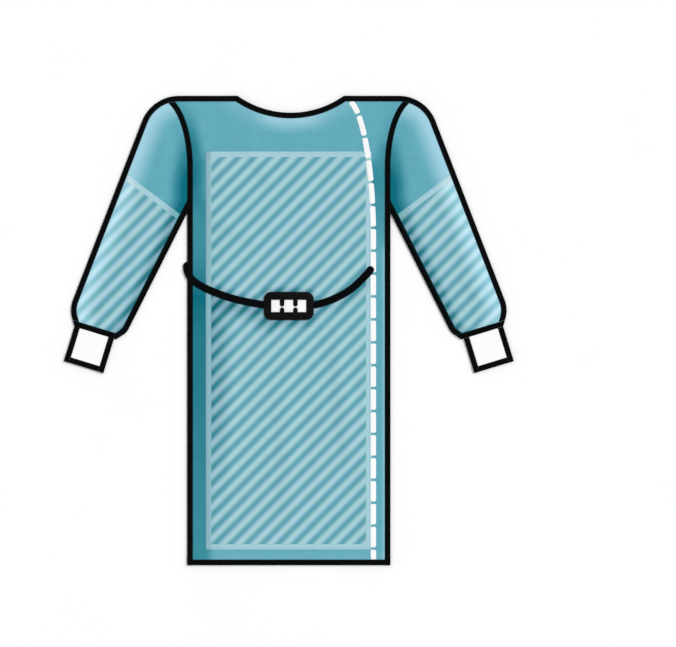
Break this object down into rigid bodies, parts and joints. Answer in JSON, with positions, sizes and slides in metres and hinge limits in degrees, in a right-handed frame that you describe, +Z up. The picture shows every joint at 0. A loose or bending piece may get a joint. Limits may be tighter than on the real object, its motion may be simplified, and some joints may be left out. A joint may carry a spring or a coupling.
{
  "type": "surgical gown",
  "caption": "Surgical gown laid flat, front up: wrap back, long sleeves with reinforcement patches, knitted cuffs, bound edges and waist ties held by a card.",
  "frame": {"origin": "middle of the outline, on the surface the gown lies on", "axes": "+X to the gown's right as seen from the front, +Y from hem to neck, +Z up from the surface"},
  "size_m": [1.1984, 1.25, 0.0112],
  "materials": {
    "gown_cloth": "soft matt nonwoven, point bonded",
    "patch_cloth": "soft matt nonwoven with diagonal light and dark stripes",
    "black_binding": "matt woven tape",
    "white_knit": "ribbed knit",
    "white_card": "smooth coated card",
    "black_plastic": "satin moulded"
  },
  "bodies": {
    "root": {"front_panel": "gown_cloth", "back_panel_wrap": "gown_cloth", "back_panel_under": "gown_cloth", "sleeve_front_left": "gown_cloth", "sleeve_front_right": "gown_cloth", "sleeve_back_left": "gown_cloth", "sleeve_back_right": "gown_cloth", "reinforcement_front": "patch_cloth", "reinforcement_sleeve_left": "patch_cloth", "reinforcement_sleeve_right": "patch_cloth", "cuff_front_left": "white_knit", "cuff_front_right": "white_knit", "cuff_back_left": "white_knit", "cuff_back_right": "white_knit", "neck_binding": "black_binding", "shoulder_binding_left": "black_binding", "shoulder_binding_right": "black_binding", "side_binding_left": "black_binding", "side_binding_right": "black_binding", "hem_binding": "black_binding", "armhole_binding_left": "black_binding", "armhole_binding_right": "black_binding", "sleeve_binding_outer_left": "black_binding", "sleeve_binding_outer_right": "black_binding", "sleeve_binding_inner_left": "black_binding", "sleeve_binding_inner_right": "black_binding", "cuff_seam_left": "black_binding", "cuff_seam_right": "black_binding", "cuff_binding_inner_left": "black_binding", "cuff_binding_inner_right": "black_binding", "cuff_binding_outer_left": "black_binding", "cuff_binding_outer_right": "black_binding", "cuff_hem_left": "black_binding", "cuff_hem_right": "black_binding", "tie_left": "black_binding", "tie_right": "black_binding", "card": "white_card", "card_frame": "black_plastic"}
  },
  "joints": []
}
